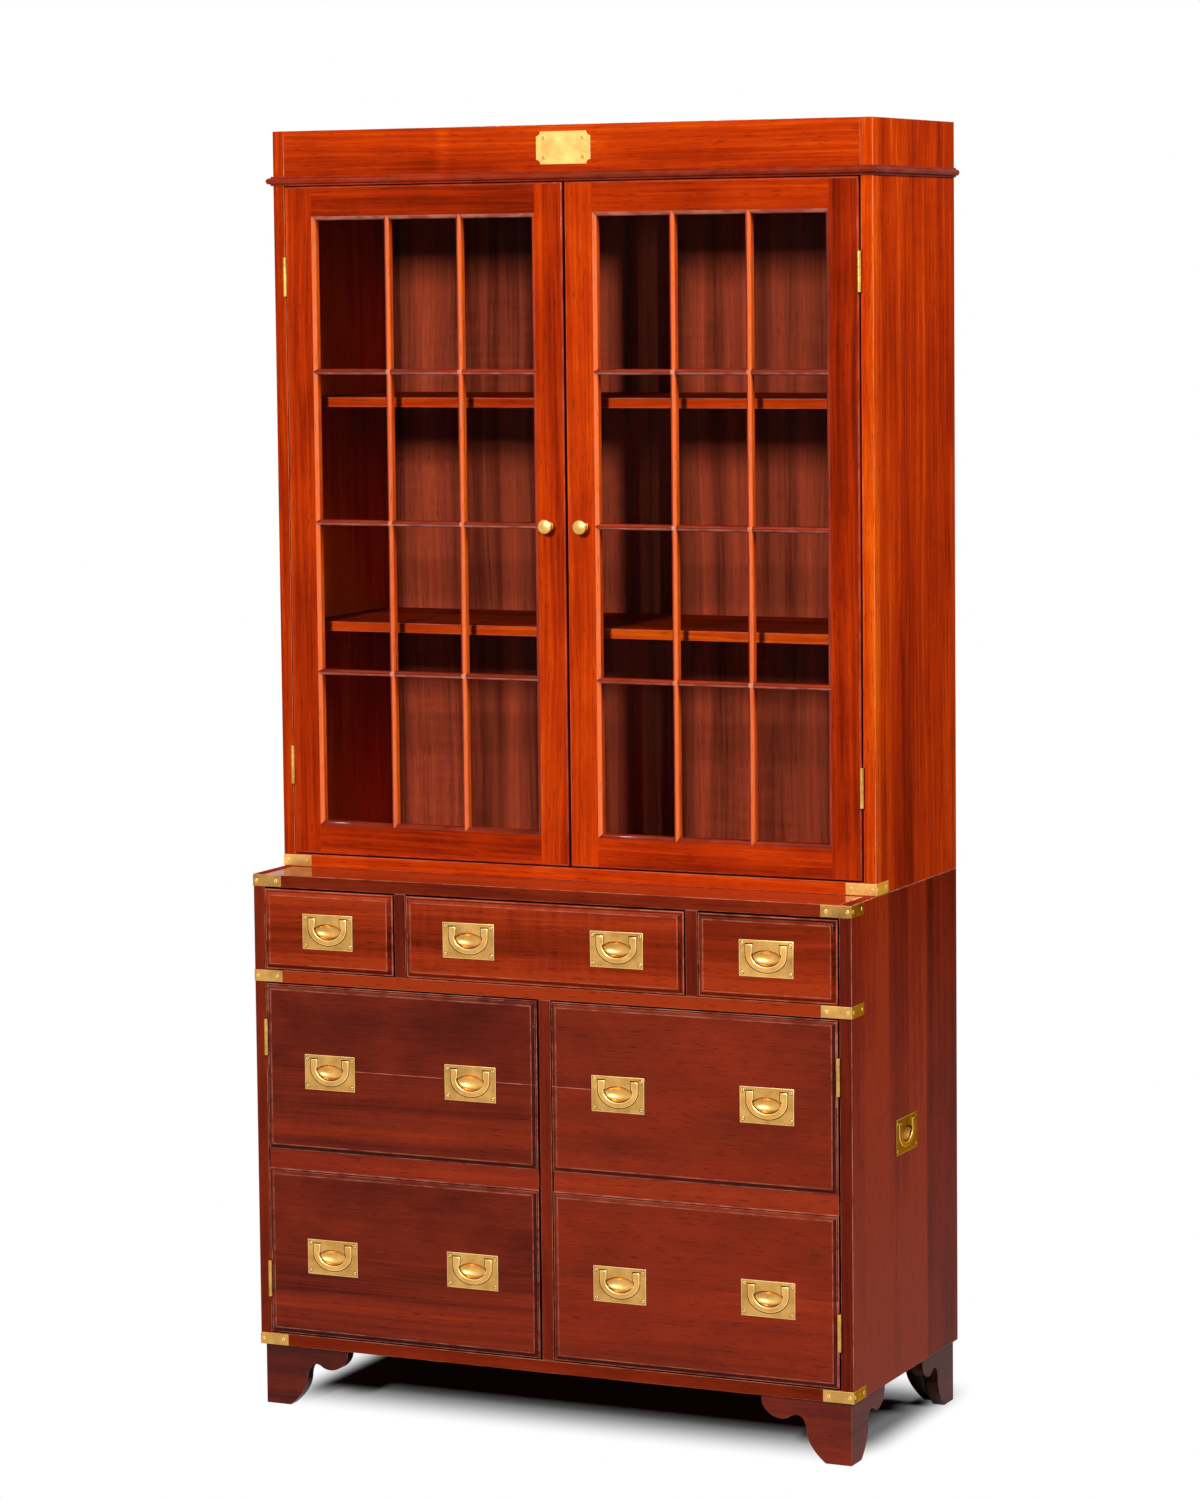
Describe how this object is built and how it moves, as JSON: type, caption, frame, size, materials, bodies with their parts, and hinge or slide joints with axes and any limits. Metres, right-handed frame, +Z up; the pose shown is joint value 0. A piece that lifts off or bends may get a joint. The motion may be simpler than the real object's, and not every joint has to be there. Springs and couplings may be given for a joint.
{
  "type": "bookcase with glass doors",
  "caption": "Tall two-part mahogany bookcase: a glazed upper case with inside shelves on a deeper base with drawers, lower doors, bracket feet and recessed brass handles.",
  "frame": {"origin": "centre of the bounding box at floor level, under the feet", "axes": "+Z up; +X to the right seen from the front; -Y towards the viewer, so the doors face -Y and the back is at +Y"},
  "size_m": [1.048, 0.464, 2.05],
  "materials": {
    "upper_mahogany": "polished",
    "base_mahogany": "polished",
    "inner_wood": "satin",
    "brass": "satin",
    "glass": "clear"
  },
  "bodies": {
    "case": {"base_back_panel": "inner_wood", "base_bottom_board": "base_mahogany", "base_side_left": "base_mahogany", "base_side_right": "base_mahogany", "base_top_board": "base_mahogany", "cornice_bead": "upper_mahogany", "cupboard_partition": "base_mahogany", "drawer_divider_left": "base_mahogany", "drawer_divider_right": "base_mahogany", "drawer_rail_board": "base_mahogany", "foot_back_left": "base_mahogany", "foot_back_right": "base_mahogany", "foot_front_left": "base_mahogany", "foot_front_right": "base_mahogany", "frieze_board": "upper_mahogany", "hinge_base_left_bottom": "brass", "hinge_base_left_top": "brass", "hinge_base_right_bottom": "brass", "hinge_base_right_top": "brass", "hinge_upper_left_bottom": "brass", "hinge_upper_left_top": "brass", "hinge_upper_right_bottom": "brass", "hinge_upper_right_top": "brass", "name_plate": "brass", "shelf_lower": "upper_mahogany", "shelf_upper": "upper_mahogany", "upper_back_panel": "inner_wood", "upper_bottom_board": "upper_mahogany", "upper_side_left": "upper_mahogany", "upper_side_right": "upper_mahogany", "upper_top_board": "upper_mahogany"},
    "glazed_door_left": {"glazed_frame_left": "upper_mahogany", "glass_left": "glass", "knob_left": "brass"},
    "panel_door_left": {"panel_door_left": "base_mahogany"},
    "glazed_door_right": {"glazed_frame_right": "upper_mahogany", "glass_right": "glass", "knob_right": "brass"},
    "panel_door_right": {"panel_door_right": "base_mahogany"},
    "drawer_left": {"drawer_front_left": "base_mahogany", "drawer_box_left": "inner_wood"},
    "drawer_middle": {"drawer_front_middle": "base_mahogany", "drawer_box_middle": "inner_wood"},
    "drawer_right": {"drawer_front_right": "base_mahogany", "drawer_box_right": "inner_wood"},
    "bail_drawer_left": {"bail_drawer_left": "brass"},
    "bail_drawer_right": {"bail_drawer_right": "brass"},
    "bail_drawer_middle_left": {"bail_drawer_middle_left": "brass"},
    "bail_drawer_middle_right": {"bail_drawer_middle_right": "brass"},
    "bail_door_left_lower_inner": {"bail_door_left_lower_inner": "brass"},
    "bail_door_left_lower_outer": {"bail_door_left_lower_outer": "brass"},
    "bail_door_left_upper_inner": {"bail_door_left_upper_inner": "brass"},
    "bail_door_left_upper_outer": {"bail_door_left_upper_outer": "brass"},
    "bail_door_right_lower_inner": {"bail_door_right_lower_inner": "brass"},
    "bail_door_right_lower_outer": {"bail_door_right_lower_outer": "brass"},
    "bail_door_right_upper_inner": {"bail_door_right_upper_inner": "brass"},
    "bail_door_right_upper_outer": {"bail_door_right_upper_outer": "brass"},
    "bail_side_left": {"bail_side_left": "brass"},
    "bail_side_right": {"bail_side_right": "brass"}
  },
  "joints": [
    {"name": "glazed_door_left_swing", "type": "hinge", "parent": "case", "child": "glazed_door_left", "pos_m": [-0.49375, -0.1238, 1.42465], "axis": [0, 0, -1], "range_deg": [0, 170]},
    {"name": "glazed_door_right_swing", "type": "hinge", "parent": "case", "child": "glazed_door_right", "pos_m": [0.49375, -0.1238, 1.42465], "axis": [0, 0, 1], "range_deg": [0, 170]},
    {"name": "panel_door_left_swing", "type": "hinge", "parent": "case", "child": "panel_door_left", "pos_m": [-0.49375, -0.2278, 0.4049], "axis": [0, 0, -1], "range_deg": [0, 170]},
    {"name": "panel_door_right_swing", "type": "hinge", "parent": "case", "child": "panel_door_right", "pos_m": [0.49375, -0.2278, 0.4049], "axis": [0, 0, 1], "range_deg": [0, 170]},
    {"name": "drawer_left_slide", "type": "slide", "parent": "case", "child": "drawer_left", "axis": [0, -1, 0], "range_m": [0, 0.3]},
    {"name": "drawer_middle_slide", "type": "slide", "parent": "case", "child": "drawer_middle", "axis": [0, -1, 0], "range_m": [0, 0.3]},
    {"name": "drawer_right_slide", "type": "slide", "parent": "case", "child": "drawer_right", "axis": [0, -1, 0], "range_m": [0, 0.3]},
    {"name": "bail_drawer_left_lift", "type": "hinge", "parent": "drawer_left", "child": "bail_drawer_left", "pos_m": [-0.37825, -0.2295, 0.796], "axis": [-1, 0, 0], "range_deg": [0, 90]},
    {"name": "bail_drawer_right_lift", "type": "hinge", "parent": "drawer_right", "child": "bail_drawer_right", "pos_m": [0.37825, -0.2295, 0.796], "axis": [-1, 0, 0], "range_deg": [0, 90]},
    {"name": "bail_drawer_middle_left_lift", "type": "hinge", "parent": "drawer_middle", "child": "bail_drawer_middle_left", "pos_m": [-0.12775, -0.2295, 0.796], "axis": [-1, 0, 0], "range_deg": [0, 90]},
    {"name": "bail_drawer_middle_right_lift", "type": "hinge", "parent": "drawer_middle", "child": "bail_drawer_middle_right", "pos_m": [0.12775, -0.2295, 0.796], "axis": [-1, 0, 0], "range_deg": [0, 90]},
    {"name": "bail_door_left_lower_inner_lift", "type": "hinge", "parent": "panel_door_left", "child": "bail_door_left_lower_inner", "pos_m": [-0.12775, -0.2295, 0.26935], "axis": [-1, 0, 0], "range_deg": [0, 90]},
    {"name": "bail_door_left_lower_outer_lift", "type": "hinge", "parent": "panel_door_left", "child": "bail_door_left_lower_outer", "pos_m": [-0.37775, -0.2295, 0.26935], "axis": [-1, 0, 0], "range_deg": [0, 90]},
    {"name": "bail_door_left_upper_inner_lift", "type": "hinge", "parent": "panel_door_left", "child": "bail_door_left_upper_inner", "pos_m": [-0.12775, -0.2295, 0.56945], "axis": [-1, 0, 0], "range_deg": [0, 90]},
    {"name": "bail_door_left_upper_outer_lift", "type": "hinge", "parent": "panel_door_left", "child": "bail_door_left_upper_outer", "pos_m": [-0.37775, -0.2295, 0.56945], "axis": [-1, 0, 0], "range_deg": [0, 90]},
    {"name": "bail_door_right_lower_inner_lift", "type": "hinge", "parent": "panel_door_right", "child": "bail_door_right_lower_inner", "pos_m": [0.12775, -0.2295, 0.26935], "axis": [-1, 0, 0], "range_deg": [0, 90]},
    {"name": "bail_door_right_lower_outer_lift", "type": "hinge", "parent": "panel_door_right", "child": "bail_door_right_lower_outer", "pos_m": [0.37775, -0.2295, 0.26935], "axis": [-1, 0, 0], "range_deg": [0, 90]},
    {"name": "bail_door_right_upper_inner_lift", "type": "hinge", "parent": "panel_door_right", "child": "bail_door_right_upper_inner", "pos_m": [0.12775, -0.2295, 0.56945], "axis": [-1, 0, 0], "range_deg": [0, 90]},
    {"name": "bail_door_right_upper_outer_lift", "type": "hinge", "parent": "panel_door_right", "child": "bail_door_right_upper_outer", "pos_m": [0.37775, -0.2295, 0.56945], "axis": [-1, 0, 0], "range_deg": [0, 90]},
    {"name": "bail_side_left_lift", "type": "hinge", "parent": "case", "child": "bail_side_left", "pos_m": [-0.5145, 0.004, 0.4945], "axis": [0, 1, 0], "range_deg": [0, 90]},
    {"name": "bail_side_right_lift", "type": "hinge", "parent": "case", "child": "bail_side_right", "pos_m": [0.5145, 0.004, 0.4945], "axis": [0, -1, 0], "range_deg": [0, 90]}
  ]
}
